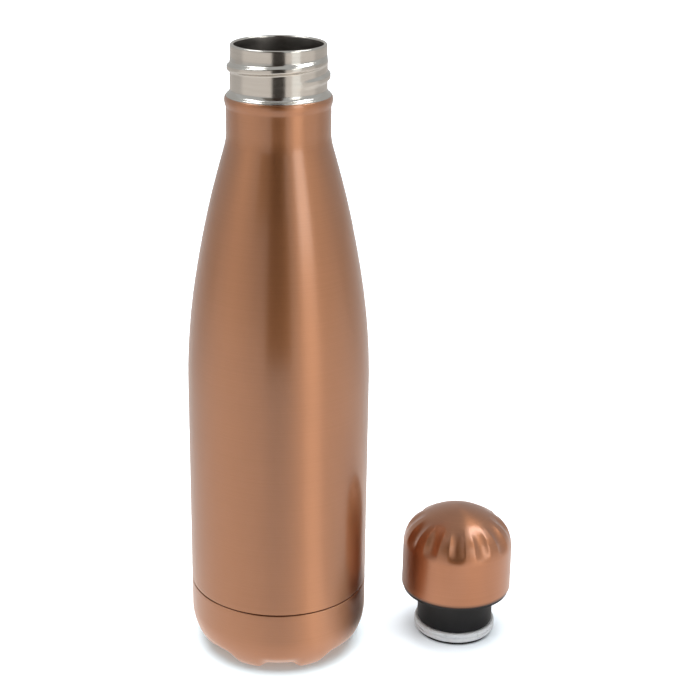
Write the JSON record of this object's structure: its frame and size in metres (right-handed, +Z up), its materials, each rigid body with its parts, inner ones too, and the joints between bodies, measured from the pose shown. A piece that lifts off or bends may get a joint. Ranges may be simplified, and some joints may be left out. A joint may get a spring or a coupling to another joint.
{
  "type": "vacuum water bottle",
  "caption": "Slim double-wall vacuum bottle in brushed copper finish, with threaded steel neck and fluted screw cap standing beside it.",
  "frame": {"origin": "on the bottle's axis, on the surface that it stands on", "axes": "+Z up along the bottle's axis; the cap stands towards +X"},
  "size_m": [0.1299, 0.07, 0.2422],
  "materials": {
    "copper_finish": "copper-coloured translucent coat over circumferentially brushed stainless steel, satin",
    "copper_gloss": "copper-coloured translucent coat over finely brushed stainless steel, semi-gloss",
    "polished_steel": "polished stainless steel",
    "plain_steel": "mill finish stainless steel",
    "solder_glass": "dark fused bead",
    "getter_metal": "pressed grey powder",
    "black_plastic": "moulded polypropylene, satin black",
    "silicone": "translucent pale grey silicone",
    "foam": "closed-cell foam"
  },
  "bodies": {
    "bottle": {"outer_shell": "copper_finish", "base_cup": "copper_finish", "inner_flask": "polished_steel", "inner_flask_bottom": "polished_steel", "outer_bottom": "plain_steel", "seal_bead": "solder_glass", "getter": "getter_metal", "getter_clip": "plain_steel"},
    "seal": {"seal_ring": "silicone"},
    "cap": {"cap_shell": "copper_gloss", "thread_insert": "black_plastic", "plug_body": "black_plastic", "plug_base": "black_plastic", "foam_core": "foam"}
  },
  "joints": [
    {"name": "cap_lift", "type": "slide", "parent": "bottle", "child": "seal", "axis": [0, 0, 1], "range_m": [0, 0.26]},
    {"name": "cap_turn", "type": "hinge", "parent": "seal", "child": "cap", "pos_m": [0.0728, 0.005, 0], "axis": [0, 0, 1], "continuous": true}
  ]
}
